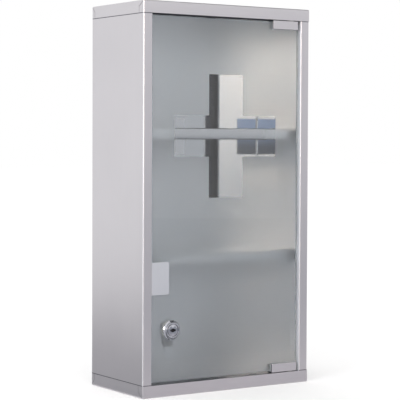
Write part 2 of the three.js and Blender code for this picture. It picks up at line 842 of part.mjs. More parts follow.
function camScrew() {
  const shaft = camScrewDiameter / 2;
  const head = camScrewHead / 2;
  const seat = camRear + seam;
  const screw = turned([
    [0, camRear - camScrewDepth + drivePlay],
    [shaft, camRear - camScrewDepth + drivePlay],
    [shaft, seat],
    [head, seat],
    [head, seat + camScrewHeadHeight * 0.5],
    [head * 0.7, seat + camScrewHeadHeight],
    [0, seat + camScrewHeadHeight],
  ]);
  const arm = head * 0.55;
  const slotHalf = sheet / 2;
  const slotDepth = [seat + camScrewHeadHeight * 0.5, seat + 2 * camScrewHeadHeight];
  const slot = block([-arm, arm], slotDepth, [-slotHalf, slotHalf]);
  const crossSlot = block([-slotHalf, slotHalf], slotDepth, [-arm, arm]);
  return cut(screw, slot, crossSlot);
}

const ringBore = threadDiameter + 2 * threadPlay;
place(lock, 'lock_barrel', 'chrome', lockBarrel());
const gasketRim = bezelBase - 2 * sheet;
place(lock, 'lock_gasket', 'clearRubber', flatRing(ringBore, gasketRim, bezelSeat + seam, -seam));
place(lock, 'lock_washer', 'whiteNylon', flatRing(ringBore, washerDiameter, washerSeat, washerEnd));
place(lock, 'lock_nut', 'zincSteel', lockNut());
place(lock, 'lock_plug', 'chrome', lockPlug());
place(lock, 'lock_cam', 'zincSteel', lockCam());
place(lock, 'lock_cam_screw', 'zincSteel', camScrew());

// Push latch: its own frame has the plunger's axis along Y, with y = 0 on the plunger's tip.
const latch = new THREE.Group();
const latchX = glassLeft + latchInset;
latch.position.set(latchX, strikeRearFace + latchGap, strikeZ);
cabinet.add(latch);

const boreEnd = plungerLength + latchTravel + springRoom;
const housingEnd = boreEnd + housingFloor;
const housingBase = -housingHeight / 2;
const latchScrews = [-latchScrewSpacing / 2, latchScrewSpacing / 2].map((y) => {
  return (plungerProud + housingEnd) / 2 + y;
});
const screwHole = latchScrewDiameter + 2 * fitPlay;

function latchHousing() {
  const half = housingWidth / 2;
  const section = roundedRectangle([-half, half], [housingBase, -housingBase], housingCorner);
  const bore = rod(plungerDiameter + 2 * plungerPlay, plungerProud - sheet, boreEnd, roundSteps);
  const pilots = latchScrews.map((y) => {
    return upright(rod(screwHole, -latchScrewLength, latchScrewLength)).translate(0, y, housingBase);
  });
  return cut(extrude(section, 'y', plungerProud, housingEnd, sheet), bore, ...pilots);
}

// The bracket is an angle: one leg on the wall, the other under the housing.
function latchBracket() {
  const half = bracketSheet / 2;
  const wall = -wallX + seam - latchX;
  const top = housingBase - seam;
  const path = [
    [wall + half, top - latchLeg],
    [wall + half, top - half],
    [housingWidth / 2, top - half],
  ];
  const angle = foldedSheet(path, bracketSheet, bend + bracketSheet / 2);
  const holes = latchScrews.map((y) => {
    return upright(rod(screwHole, top - 2 * bracketSheet, top + bracketSheet)).translate(0, y, 0);
  });
  return cut(extrude(angle, 'y', plungerProud + sheet, housingEnd - sheet), ...holes);
}

function latchScrew() {
  const shaft = latchScrewDiameter / 2;
  const head = latchScrewHead / 2;
  const seat = -2 * seam - bracketSheet;
  const tip = latchScrewLength - fitPlay;
  return upright(turned([
    [0, seat - latchScrewHeadHeight],
    [head * 0.7, seat - latchScrewHeadHeight],
    [head, seat - latchScrewHeadHeight * 0.4],
    [head, seat],
    [shaft, seat],
    [shaft, tip - shaft],
    [0, tip],
  ], smallRoundSteps));
}

// The plunger has a pocket for the magnet in its tip and one for the spring in its rear end.
function latchPlunger() {
  const body = plungerDiameter / 2;
  const magnetBore = magnetDiameter / 2 + fitPlay;
  const springBore = (springDiameter + springWire) / 2 + fitPlay;
  return turned([
    [0, magnetLength + fitPlay],
    [magnetBore, magnetLength + fitPlay],
    [magnetBore, 0],
    [body - plungerPlay, 0],
    [body, plungerPlay],
    [body, plungerLength],
    [springBore, plungerLength],
    [springBore, plungerLength - springSeat],
    [0, plungerLength - springSeat],
  ]);
}

class Helix extends THREE.Curve {
  constructor(radius, from, to, turns) {
    super();
    Object.assign(this, { radius, from, to, turns });
  }

  getPoint(t, target = new THREE.Vector3()) {
    const angle = 2 * Math.PI * this.turns * t;
    const along = this.from + (this.to - this.from) * t;
    return target.set(this.radius * Math.cos(angle), along, this.radius * Math.sin(angle));
  }
}

function latchSpring() {
  const start = plungerLength - springSeat + seam + springWire / 2;
  const end = boreEnd - seam - springWire / 2;
  const helix = new Helix(springDiameter / 2, start, end, springTurns);
  const pitch = (end - start) / springTurns;
  console.log(`latch_spring: least gap between turns ${(pitch - springWire).toFixed(2)} mm`);
  const wire = [];
  const wireSides = 5;
  for (let i = 0; i < wireSides; i += 1) {
    const angle = (2 * Math.PI * i) / wireSides;
    wire.push([(springWire / 2) * Math.cos(angle), (springWire / 2) * Math.sin(angle)]);
  }
  const stepsPerTurn = 12;
  const steps = springTurns * stepsPerTurn;
  return new THREE.ExtrudeGeometry(polygon(wire), { steps, bevelEnabled: false, extrudePath: helix });
}

place(latch, 'latch_bracket', 'zincSteel', latchBracket());
place(latch, 'latch_housing', 'greyPlastic', latchHousing());
place(latch, 'latch_plunger', 'greyPlastic', latchPlunger());
place(latch, 'latch_magnet', 'magnet', rod(magnetDiameter, 0, magnetLength, roundSteps));
place(latch, 'latch_spring', 'zincSteel', latchSpring());
latchScrews.forEach((y, i) => {
  place(latch, `latch_screw_${i + 1}`, 'zincSteel', latchScrew(), [0, y, housingBase]);
});

export default cabinet;
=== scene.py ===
import bpy
import bmesh
import json
import math
from mathutils import Matrix, Quaternion, Vector


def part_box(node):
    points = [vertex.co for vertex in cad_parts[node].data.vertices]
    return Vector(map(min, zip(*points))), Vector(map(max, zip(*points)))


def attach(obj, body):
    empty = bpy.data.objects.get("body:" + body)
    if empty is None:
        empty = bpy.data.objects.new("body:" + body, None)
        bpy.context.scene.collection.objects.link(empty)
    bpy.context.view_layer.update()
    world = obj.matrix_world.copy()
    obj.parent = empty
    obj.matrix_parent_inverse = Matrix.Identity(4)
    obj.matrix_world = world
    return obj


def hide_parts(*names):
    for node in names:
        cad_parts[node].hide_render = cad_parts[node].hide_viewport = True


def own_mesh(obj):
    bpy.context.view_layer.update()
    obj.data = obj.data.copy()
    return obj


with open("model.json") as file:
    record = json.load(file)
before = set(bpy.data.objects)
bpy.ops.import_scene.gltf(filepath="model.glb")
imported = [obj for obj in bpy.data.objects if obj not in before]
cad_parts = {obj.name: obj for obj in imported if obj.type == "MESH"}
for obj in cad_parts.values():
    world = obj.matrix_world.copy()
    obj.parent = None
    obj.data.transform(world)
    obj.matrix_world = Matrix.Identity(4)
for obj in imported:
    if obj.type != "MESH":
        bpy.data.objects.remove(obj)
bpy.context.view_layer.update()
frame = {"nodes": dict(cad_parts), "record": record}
nodes = frame["nodes"]
scene = bpy.context.scene
scene.view_settings.view_transform = "Standard"
millimetre = 0.001
hair = 0.01  # in millimetres, the play when points and faces are picked by place
facing = 0.9  # how far a normal leans along an axis where its face counts as facing that way
squarely = 0.99  # the same for faces that lie flat across the axis
print("frame loaded:", len(nodes), "nodes")


# Node helpers. A value is either a socket to link or a constant to set.
def addNode(tree, kind, inputs=None, **settings):
    node = tree.nodes.new(kind)
    for key, value in settings.items():
        setattr(node, key, value)
    for key, value in (inputs or {}).items():
        if isinstance(value, bpy.types.NodeSocket):
            tree.links.new(value, node.inputs[key])
        else:
            node.inputs[key].default_value = value
    return node


def mathNode(tree, operation, first, second):
    inputs = {0: first, 1: second}
    return addNode(tree, "ShaderNodeMath", inputs, operation=operation).outputs[0]


def mixColour(tree, factor, first, second):
    inputs = {0: factor, 6: first, 7: second}  # the mix node's sockets for colours
    return addNode(tree, "ShaderNodeMix", inputs, data_type="RGBA").outputs[2]


def newGroup(name, inputs, outputs):
    tree = bpy.data.node_groups.new(name, "ShaderNodeTree")
    for label, kind, value in inputs:
        socket = tree.interface.new_socket(name=label, in_out="INPUT", socket_type=kind)
        socket.default_value = value
    for label in outputs:
        tree.interface.new_socket(name=label, in_out="OUTPUT", socket_type="NodeSocketFloat")
    return tree, tree.nodes.new("NodeGroupInput"), tree.nodes.new("NodeGroupOutput")


# Fine rolling and brushing lines of sheet metal. Stretch is the noise's scale along X, Y and Z.
def makeSheetGrain():
    tree, start, end = newGroup(
        "sheetGrain",
        [("Stretch", "NodeSocketVector", (40.0, 4000.0, 4000.0))],
        ["Lines", "Clouds"],
    )
    place = addNode(tree, "ShaderNodeTexCoord").outputs["Object"]
    stretched = {"Vector": place, "Scale": start.outputs["Stretch"]}
    mapped = addNode(tree, "ShaderNodeMapping", stretched).outputs[0]
    lines = addNode(tree, "ShaderNodeTexNoise", {"Vector": mapped, "Scale": 1.0, "Detail": 3.0})
    clouds = addNode(
        tree, "ShaderNodeTexNoise",
        {"Vector": place, "Scale": 9.0, "Detail": 4.0, "Roughness": 0.55},
    )
    tree.links.new(lines.outputs[0], end.inputs["Lines"])
    tree.links.new(clouds.outputs[0], end.inputs["Clouds"])
    return tree


# Small specks and scuffs, for glass and for moulded and plated pieces.
def makeFineSpeckle():
    tree, start, end = newGroup(
        "fineSpeckle", [("Scale", "NodeSocketFloat", 900.0)], ["Speckle", "Scuffs"],
    )
    place = addNode(tree, "ShaderNodeTexCoord").outputs["Object"]
    speckle = addNode(
        tree, "ShaderNodeTexNoise",
        {"Vector": place, "Scale": start.outputs["Scale"], "Detail": 2.0},
    )
    scuffs = addNode(
        tree, "ShaderNodeTexNoise",
        {"Vector": place, "Scale": 60.0, "Detail": 6.0, "Distortion": 0.6},
    )
    tree.links.new(speckle.outputs[0], end.inputs["Speckle"])
    tree.links.new(scuffs.outputs[0], end.inputs["Scuffs"])
    return tree


# A hard-edged mask along one axis that marks where painted shade goes: 0 between two places and 1
# outside of them.
def makePaintedShadeMask():
    tree, start, end = newGroup(
        "paintedShadeMask",
        [(label, "NodeSocketFloat", 0.0) for label in ("Place", "Low", "High")],
        ["Outside"],
    )
    below = mathNode(tree, "LESS_THAN", start.outputs["Place"], start.outputs["Low"])
    above = mathNode(tree, "GREATER_THAN", start.outputs["Place"], start.outputs["High"])
    tree.links.new(mathNode(tree, "MAXIMUM", below, above), end.inputs["Outside"])
    return tree


sheetGrain = makeSheetGrain()
paintedShadeMask = makePaintedShadeMask()
fineSpeckle = makeFineSpeckle()
noiseRange = (0.3, 0.7)  # where nearly all values of the noises lie


def startMaterial(name):
    material = bpy.data.materials.new(name)
    material.use_nodes = True
    tree = material.node_tree
    return material, tree, tree.nodes["Principled BSDF"]


def ranged(tree, value, low, high):
    inputs = {0: value, 1: noiseRange[0], 2: noiseRange[1], 3: low, 4: high}
    return addNode(tree, "ShaderNodeMapRange", inputs).outputs[0]


def bumped(tree, shader, height, strength, distance):
    inputs = {"Height": height, "Strength": strength, "Distance": distance}
    bump = addNode(tree, "ShaderNodeBump", inputs)
    tree.links.new(bump.outputs[0], shader.inputs["Normal"])


# Sheet metal: a grain along one axis, soft clouding, and a roughness that follows both.
# With a seam, the sheet gets painted shade outside of two places along an axis: a dark tone there,
# and a duller roughness.
grainSettings = {"lines": 0.4, "clouds": 0.6, "height": 0.00002}


def sheetMetal(name, dark, light, roughness, stretch, strength, seam=None):
    s = grainSettings
    material, tree, shader = startMaterial(name)
    grain = addNode(tree, "ShaderNodeGroup", {"Stretch": stretch}, node_tree=sheetGrain)
    lines = mathNode(tree, "MULTIPLY", grain.outputs["Lines"], s["lines"])
    clouds = mathNode(tree, "MULTIPLY", grain.outputs["Clouds"], s["clouds"])
    tone = mathNode(tree, "ADD", lines, clouds)
    colour = mixColour(tree, ranged(tree, tone, 0.0, 1.0), (*dark, 1.0), (*light, 1.0))
    rough = ranged(tree, tone, *roughness)
    # Painted shade: outside of the two places the colour becomes the seam's dark tone.
    if seam:
        place = addNode(tree, "ShaderNodeTexCoord").outputs["Object"]
        along = addNode(tree, "ShaderNodeSeparateXYZ", {0: place}).outputs[seam["axis"]]
        places = {"Place": along, "Low": seam["low"], "High": seam["high"]}
        outside = addNode(tree, "ShaderNodeGroup", places, node_tree=paintedShadeMask).outputs["Outside"]
        colour = mixColour(tree, outside, colour, (*seam["tone"], 1.0))
        dull = mathNode(tree, "MULTIPLY", outside, seam["rough"])
        rough = mathNode(tree, "MAXIMUM", rough, dull)
    tree.links.new(colour, shader.inputs["Base Color"])
    tree.links.new(rough, shader.inputs["Roughness"])
    shader.inputs["Metallic"].default_value = 1.0
    bumped(tree, shader, grain.outputs["Lines"], strength, s["height"])
    return material


# Moulded or plated pieces: speckled tone and roughness.
speckHeight = 0.00003


def smallPart(name, dark, light, roughness, metallic, scale=900.0, strength=0.15):
    material, tree, shader = startMaterial(name)
    speckle = addNode(tree, "ShaderNodeGroup", {"Scale": scale}, node_tree=fineSpeckle)
    scuffs = speckle.outputs["Scuffs"]
    colour = mixColour(tree, ranged(tree, scuffs, 0.0, 1.0), (*dark, 1.0), (*light, 1.0))
    tree.links.new(colour, shader.inputs["Base Color"])
    tree.links.new(ranged(tree, scuffs, *roughness), shader.inputs["Roughness"])
    shader.inputs["Metallic"].default_value = metallic
    bumped(tree, shader, speckle.outputs["Speckle"], strength, speckHeight)
    return material


satinSettings = {
    "dark": (0.600, 0.585, 0.610), "light": (0.645, 0.628, 0.655),
    "roughness": (0.36, 0.42), "strength": 0.10,
}
polishedSettings = {
    "dark": (0.76, 0.76, 0.77), "light": (0.80, 0.80, 0.80),
    "roughness": (0.035, 0.060), "strength": 0.02,
}
brushedAcross, brushedUpright = (30.0, 3500.0, 3500.0), (3500.0, 3500.0, 30.0)
rolledAcross, rolledUpright = (25.0, 2500.0, 2500.0), (2500.0, 2500.0, 25.0)
strikeGrain = (2500.0, 2500.0, 60.0)

# Painted shade: the side panels are painted dark and dull where the caps cover them and in a thin
# line beside the caps' edges, the inner panels behind the door's edges.
panelSeamShade = {"axis": "Z", "low": 0.0159, "high": 0.4641, "tone": (0.16, 0.16, 0.18), "rough": 0.42}
# Painted shade along the front edges of the ceiling and floor panels, where the gap behind the
# door lies in shadow.
ceilingMarginShade = {
    "axis": "Y", "low": -0.037, "high": 0.2, "tone": (0.15, 0.155, 0.17), "rough": 0.9,
}
floorMarginShade = {
    "axis": "Y", "low": -0.034, "high": 0.2, "tone": (0.09, 0.095, 0.11), "rough": 0.42,
}

satinAcross = sheetMetal("satinSteelAcross", stretch=brushedAcross, **satinSettings)
satinUpright = sheetMetal(
    "satinSteelUpright", stretch=brushedUpright, seam=panelSeamShade, **satinSettings,
)
ceilingSteel = sheetMetal(
    "ceilingSteel", (0.72, 0.715, 0.72), (0.76, 0.755, 0.76), (0.22, 0.30),
    stretch=brushedAcross, strength=0.06, seam=ceilingMarginShade,
)
floorSteel = sheetMetal(
    "floorSteel", (0.50, 0.50, 0.52), (0.54, 0.54, 0.56), (0.34, 0.42),
    stretch=brushedAcross, strength=0.08, seam=floorMarginShade,
)
polishedAcross = sheetMetal("polishedSteelAcross", stretch=rolledAcross, **polishedSettings)
polishedUpright = sheetMetal("polishedSteelUpright", stretch=rolledUpright, **polishedSettings)
# Painted shade: a dark steel for the insides of the stile and its return and for the hinge clips'
# ends.
paintedShadeSteel = sheetMetal(
    "paintedShadeSteel", (0.175, 0.19, 0.23), (0.235, 0.25, 0.29), (0.40, 0.48),
    stretch=brushedAcross, strength=0.10,
)
# Painted highlight: a brighter, rougher copy of the satin steel for the outside of the stile's
# return.
returnHighlightSteel = sheetMetal(
    "returnHighlightSteel", (0.78, 0.80, 0.83), (0.83, 0.85, 0.88), (0.78, 0.86),
    stretch=brushedUpright, strength=0.10,
)
shelfSteel = sheetMetal(
    "shelfSteel", (0.84, 0.84, 0.84), (0.88, 0.88, 0.88), (0.21, 0.27),
    stretch=rolledAcross, strength=0.02,
)
# Painted shade: the lower shelf is a darker, rougher copy of the upper shelf's steel.
lowerShelfShadeSteel = sheetMetal(
    "lowerShelfShadeSteel", (0.74, 0.745, 0.755), (0.78, 0.785, 0.795), (0.44, 0.52),
    stretch=rolledAcross, strength=0.02,
)
# Painted shade: the top of each shelf's tray is painted darker than its lip.
shelfTopShadeSteel = sheetMetal(
    "shelfTopShadeSteel", (0.50, 0.50, 0.515), (0.55, 0.55, 0.565), (0.24, 0.32),
    stretch=rolledAcross, strength=0.05,
)
strikeSteel = sheetMetal(
    "strikeSteel", (0.80, 0.81, 0.84), (0.86, 0.87, 0.90), (0.28, 0.36),
    stretch=strikeGrain, strength=0.08,
)
brightZinc = smallPart(
    "brightZinc", (0.66, 0.67, 0.69), (0.72, 0.73, 0.75), (0.52, 0.62), metallic=1.0,
)
zincPlate = smallPart(
    "zincPlate", (0.46, 0.47, 0.49), (0.60, 0.61, 0.63), (0.22, 0.38), metallic=1.0,
)
blackSteel = smallPart(
    "blackSteel", (0.07, 0.07, 0.08), (0.12, 0.12, 0.13), (0.30, 0.45), metallic=1.0,
)
chromePlate = smallPart(
    "chromePlate", (0.54, 0.55, 0.59), (0.60, 0.61, 0.65), (0.05, 0.10),
    metallic=1.0, scale=500.0, strength=0.03,
)
softVinyl = smallPart(
    "softVinyl", (0.50, 0.52, 0.53), (0.60, 0.62, 0.63), (0.40, 0.55), metallic=0.0,
)
naturalNylon = smallPart(
    "naturalNylon", (0.74, 0.73, 0.69), (0.80, 0.79, 0.76), (0.38, 0.50), metallic=0.0,
)
greyPlastic = smallPart(
    "greyPlastic", (0.24, 0.25, 0.27), (0.31, 0.32, 0.34), (0.40, 0.52),
    metallic=0.0, scale=1400.0, strength=0.35,
)
magnetPlate = smallPart(
    "magnetPlate", (0.19, 0.19, 0.20), (0.26, 0.26, 0.27), (0.18, 0.30), metallic=1.0,
)


# Door glass: one pane with a clear front and ground edges. Its inner face has a blasted ground
# round the clear cross.
glassSettings = {
    "speckle": 2200.0, "height": 0.00002, "index": 1.5,
    "clear": {
        "colour": (0.925, 0.95, 0.957, 1.0), "roughness": (0.005, 0.02), "through": 1.0,
        "grit": 0.004,
    },
    "blasted": {
        "colour": (0.925, 0.97, 1.0, 1.0), "roughness": (0.57, 0.63), "through": 0.89, "grit": 0.2,
    },
    "edge": {
        "colour": (0.62, 0.70, 0.78, 1.0), "roughness": (0.36, 0.48), "through": 0.75, "grit": 0.1,
    },
    # The clear cross is tinted grey, a painted shade that dims what is seen through it.
    "cross": {
        "colour": (0.52, 0.538, 0.558, 1.0), "roughness": (0.005, 0.02), "through": 1.0,
        "grit": 0.004,
    },
}


def paneGlass(name, colour, roughness, through, grit):
    s = glassSettings
    material, tree, shader = startMaterial(name)
    speckle = addNode(tree, "ShaderNodeGroup", {"Scale": s["speckle"]}, node_tree=fineSpeckle)
    rough = ranged(tree, speckle.outputs["Scuffs"], *roughness)
    tree.links.new(rough, shader.inputs["Roughness"])
    shader.inputs["Base Color"].default_value = colour
    shader.inputs["Transmission Weight"].default_value = through
    shader.inputs["IOR"].default_value = s["index"]
    bumped(tree, shader, speckle.outputs["Speckle"], grit, s["height"])
    return material


clearGlass = paneGlass("clearGlass", **glassSettings["clear"])
blastedGlass = paneGlass("blastedGlass", **glassSettings["blasted"])
edgeGlass = paneGlass("edgeGlass", **glassSettings["edge"])
crossShadeGlass = paneGlass("crossShadeGlass", **glassSettings["cross"])
print("materials made:", len(bpy.data.materials))


# Modelling helpers. Pieces are modelled in millimetres and brought to metres at the end.
roundingAngle = math.radians(50)  # edges sharper than this are rounded
shadingAngle = math.radians(40)  # edges sharper than this stay sharp in the shading


def finishPiece(
    name, bm, material, body, replaced, thickness=0.0, edge=0.0, offset=0.0, inner=None,
):
    bmesh.ops.scale(bm, vec=(millimetre,) * 3, verts=bm.verts)
    mesh = bpy.data.meshes.new(name)
    bm.to_mesh(mesh)
    bm.free()
    mesh.materials.append(material)
    piece = bpy.data.objects.new(name, mesh)
    scene.collection.objects.link(piece)
    if thickness:
        wall = piece.modifiers.new("wall", "SOLIDIFY")
        wall.thickness = thickness * millimetre
        wall.offset = offset
        wall.use_even_offset = True
        if inner:
            mesh.materials.append(inner)
            wall.material_offset = 1
    if edge:
        rounding = piece.modifiers.new("edges", "BEVEL")
        rounding.width = edge * millimetre
        rounding.segments = 2
        rounding.limit_method = "ANGLE"
        rounding.angle_limit = roundingAngle
        rounding.harden_normals = True
        rounding.use_clamp_overlap = True
    for polygon in mesh.polygons:
        polygon.use_smooth = True
    mesh.set_sharp_from_angle(angle=shadingAngle)
    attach(piece, body)
    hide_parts(*replaced)
    return piece


# The further finishes of a piece, for the faces with a material index of their own.
def addFinishes(piece, *materials):
    for material in materials:
        piece.data.materials.append(material)


def millimetres(node):
    low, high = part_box(node)
    return low / millimetre, high / millimetre


def vertsIn(geom):
    return [item for item in geom if isinstance(item, bmesh.types.BMVert)]


def rounded(bm, geom, radius, affect="EDGES"):
    bmesh.ops.bevel(
        bm, geom=geom, offset=radius, offset_type="OFFSET", segments=6, profile=0.5,
        affect=affect, material=-1,
    )


# Cuts the given faces along a plane and leaves the rest of the mesh whole.
def cutFaces(bm, faces, point, normal, dist):
    around = set(faces)
    for face in faces:
        around.update(face.edges)
        around.update(face.verts)
    bmesh.ops.bisect_plane(bm, geom=list(around), dist=dist, plane_co=point, plane_no=normal)


# A bar grown from a flat outline.
def addBar(bm, outline, reach):
    profile = bm.faces.new([bm.verts.new(corner) for corner in outline])
    grown = bmesh.ops.extrude_face_region(bm, geom=[profile])["geom"]
    bmesh.ops.translate(bm, verts=vertsIn(grown), vec=reach)


# A sheet folded along a path in the plane across the axis. The path runs along its middle.
def foldedStrip(path, axis, span, radius):
    bm = bmesh.new()
    place = "xyz".index(axis)
    points = []
    for pair in path:
        corner = list(pair)
        corner.insert(place, span[0])
        points.append(bm.verts.new(corner))
    line = [bm.edges.new(pair) for pair in zip(points, points[1:])]
    folds = points[1:-1]
    grown = bmesh.ops.extrude_edge_only(bm, edges=line)["geom"]
    reach = Vector((0, 0, 0))
    reach[place] = span[1] - span[0]
    bmesh.ops.translate(bm, verts=vertsIn(grown), vec=reach)
    inner = [e for e in bm.edges if len(e.link_faces) == 2 and any(v in folds for v in e.verts)]
    rounded(bm, inner, radius)
    bmesh.ops.recalc_face_normals(bm, faces=bm.faces)
    return bm


# A body turned from a profile of (radius, place on the axis), then set at a place. Its axis is Y
# or Z. A closed profile makes a ring, an open one a body that is solid at its axis.
def turnedBody(profile, centre, steps, axis="y", closed=False):
    bm = bmesh.new()
    points = [bm.verts.new((radius, along, 0.0)) for radius, along in profile]
    pairs = list(zip(points, points[1:]))
    if closed:
        pairs.append((points[-1], points[0]))
    line = [bm.edges.new(pair) for pair in pairs if pair[0].co.x > 0 or pair[1].co.x > 0]
    bmesh.ops.spin(
        bm, geom=points + line, cent=(0, 0, 0), axis=(0, 1, 0), angle=math.tau, steps=steps,
        use_merge=True,
    )
    bmesh.ops.remove_doubles(bm, verts=bm.verts, dist=1e-5)
    bmesh.ops.recalc_face_normals(bm, faces=bm.faces)
    if axis == "z":
        upright = Matrix.Rotation(math.pi / 2, 3, "X")
        bmesh.ops.rotate(bm, verts=bm.verts, cent=(0, 0, 0), matrix=upright)
    bmesh.ops.translate(bm, verts=bm.verts, vec=centre)
    return bm


# The eased rim at the end of a turned piece, from the flat end to the side.
rimEase = ((0.5, 0.0), (0.15, 0.15), (0.0, 0.5))


def easedRim(radius, end):
    return [(radius - inset, end + depth) for inset, depth in rimEase]


# A merged copy of a solid, for pieces that keep their shape but have more than one finish.
def copiedSolid(node):
    bm = bmesh.new()
    bm.from_mesh(nodes[node].data)
    bmesh.ops.scale(bm, vec=(1 / millimetre,) * 3, verts=bm.verts)
    bmesh.ops.remove_doubles(bm, verts=bm.verts, dist=1e-4)
    return bm


# Flat faces, so that nothing seen in them or through them bends.
def flatShaded(piece):
    for polygon in piece.data.polygons:
        polygon.use_smooth = False


# Caps.
capSettings = {
    "bend": 1.6, "sheet": 0.5, "tabFront": 10.5, "tabRear": 7.0, "tabDrop": 7.2, "slit": 0.55,
    "edge": 0.12, "cut": 1e-5,
}


def capShell():
    s = capSettings
    low, high = millimetres("bottom_cap")
    bm = bmesh.new()
    bmesh.ops.create_cube(bm, size=1.0)
    bmesh.ops.scale(bm, vec=high - low, verts=bm.verts)
    bmesh.ops.translate(bm, vec=(low + high) / 2, verts=bm.verts)
    openFace = [f for f in bm.faces if f.normal.z > facing]
    bmesh.ops.delete(bm, geom=openFace, context="FACES_ONLY")
    rounded(bm, [e for e in bm.edges if len(e.link_faces) == 2], s["bend"])
    for edge, inward, tab in ((low.y, 1, s["tabFront"]), (high.y, -1, s["tabRear"])):
        cutSlit(bm, edge, inward, tab)
    return bm


# The seam where a front or rear lip wraps round onto the side: slanted first, then straight.
def cutSlit(bm, edge, inward, tab):
    s = capSettings
    start = Vector((0, edge + inward * s["bend"], s["bend"]))
    knee = Vector((0, edge + inward * tab, s["tabDrop"]))
    slant = (knee - start).normalized()
    across = Vector((0, -slant.z, slant.y))
    half = s["slit"] / 2
    cuts = [(knee + across * side, across) for side in (-half, half)]
    cuts += [(knee + Vector((0, side, 0)), Vector((0, 1, 0))) for side in (-half, half)]
    cuts.append((knee, Vector((0, 0, 1))))
    for point, normal in cuts:
        lips = [f for f in bm.faces if abs(f.normal.x) > squarely]
        cutFaces(bm, lips, point, normal, s["cut"])
    slit = []
    for face in bm.faces:
        if abs(face.normal.x) < squarely:
            continue
        middle = face.calc_center_median()
        slanted = middle.z < s["tabDrop"]
        offset = (middle - knee).dot(across) if slanted else middle.y - knee.y
        if abs(offset) < half and middle.z > s["bend"]:
            slit.append(face)
    bmesh.ops.delete(bm, geom=slit, context="FACES")


def makeCaps():
    s = capSettings
    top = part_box("top_cap")[1].z / millimetre
    for name, node in (("capBottom", "bottom_cap"), ("capTop", "top_cap")):
        bm = capShell()
        if node == "top_cap":
            over = Matrix.Rotation(math.pi, 3, "Y")
            bmesh.ops.rotate(bm, verts=bm.verts, cent=(0, 0, 0), matrix=over)
            bmesh.ops.translate(bm, verts=bm.verts, vec=(0, 0, top))
        finishPiece(
            name, bm, satinAcross, "cabinet", [node], s["sheet"], s["edge"],
            offset=-1.0,
        )


makeCaps()
print("caps made")

# Side panels. The insides of the stile and its return are painted dark, a painted shade, and the
# return's outside is painted brighter, a painted highlight.
panelSettings = {
    "sheet": 0.8, "fold": 1.2, "edge": 0.14, "fuller": 0.4, "rear": 62.2, "return": 7.0,
    "stileIndex": 2, "returnIndex": 4,
}


def makeSidePanels():
    s = panelSettings
    half = s["sheet"] / 2
    for name, node, side in (
        ("sidePanelLeft", "left_side_panel", -1), ("sidePanelRight", "right_side_panel", 1),
    ):
        low, high = millimetres(node)
        inner, outer = sorted((abs(low.x), abs(high.x)))
        outer += s["fuller"]
        front = low.y - s["fuller"]
        path = [
            (side * (inner + half), low.y + s["return"]),
            (side * (inner + half), front + half),
            (side * (outer - half), front + half),
            (side * (outer - half), s["rear"]),
        ]
        bm = foldedStrip(path, "z", (low.z, high.z), s["fold"])
        broad = max(bm.faces, key=lambda face: face.calc_area())
        if broad.normal.x * side < 0:
            bmesh.ops.reverse_faces(bm, faces=bm.faces)
        for face in bm.faces:
            if face is not broad:
                sideways = abs(face.normal.x) > facing
                face.material_index = s["returnIndex"] if sideways else s["stileIndex"]
        piece = finishPiece(
            name, bm, satinUpright, "cabinet", [node], s["sheet"], s["edge"],
            inner=polishedUpright,
        )
        addFinishes(piece, satinUpright, paintedShadeSteel, returnHighlightSteel, paintedShadeSteel)


makeSidePanels()
print("side panels made")

# Shelves. The tray's top is painted darker than its lip, a painted shade.
shelfSettings = {"sheet": 0.8, "fold": 1.2, "hem": 7.0, "rear": 10.0, "edge": 0.14, "tray": 1.0}


def makeShelves():
    s = shelfSettings
    half = s["sheet"] / 2
    for name, node, material in (
        ("shelfUpper", "upper_shelf", shelfSteel), ("shelfLower", "lower_shelf", lowerShelfShadeSteel),
    ):
        low, high = millimetres(node)
        path = [
            (low.y + s["hem"], low.z + half),
            (low.y + half, low.z + half),
            (low.y + half, high.z - half),
            (high.y - half, high.z - half),
            (high.y - half, high.z - s["rear"]),
        ]
        bm = foldedStrip(path, "x", (low.x, high.x), s["fold"])
        for face in bm.faces:
            level = face.calc_center_median().z
            if abs(face.normal.z) > facing and level > high.z - s["tray"]:
                face.material_index = 1
        shelf = finishPiece(
            name, bm, material, "cabinet", [node], s["sheet"], s["edge"],
        )
        addFinishes(shelf, shelfTopShadeSteel)


makeShelves()
print("shelves made")

# Back pan: polished inside, satin towards the wall, with a small fillet in the two upright inner
# corners.
panSettings = {"wall": 123.7, "fillet": 2.2, "inset": 0.05, "steps": 8, "wallward": 0.5}


def makeBackPan():
    s = panSettings
    bm = copiedSolid("back_panel")
    low, high = millimetres("back_panel")
    for face in bm.faces:
        if face.normal.y > s["wallward"]:
            face.material_index = 1
    for side in (-1, 1):
        corner = (side * (s["wall"] - s["inset"]), low.y - s["inset"])
        middle = (corner[0] - side * s["fillet"], corner[1] - s["fillet"])
        outline = [(*corner, low.z)]
        for i in range(s["steps"] + 1):
            angle = math.pi / 2 * i / s["steps"]
            x = middle[0] + side * s["fillet"] * math.cos(angle)
            y = middle[1] + s["fillet"] * math.sin(angle)
            outline.append((x, y, low.z))
        addBar(bm, outline, (0, 0, high.z - low.z))
    bmesh.ops.recalc_face_normals(bm, faces=bm.faces)
    pan = finishPiece("backPan", bm, polishedUpright, "cabinet", ["back_panel"])
    addFinishes(pan, satinAcross)
    flatShaded(pan)


# Door pane: the blasted ground goes round the clear cross.
paneSettings = {"ground": -53.95, "reach": 0.02}


def makeDoorPane():
    s = paneSettings
    bm = copiedSolid("door_glass")
    for face in bm.faces:
        if all(abs(vert.co.y - s["ground"]) < s["reach"] for vert in face.verts):
            face.material_index = 1
        elif abs(face.normal.y) < facing:
            face.material_index = 2
        elif face.normal.y > facing:
            face.material_index = 3
    pane = finishPiece("doorPane", bm, clearGlass, "door", ["door_glass"])
    addFinishes(pane, blastedGlass, edgeGlass, crossShadeGlass)
    flatShaded(pane)


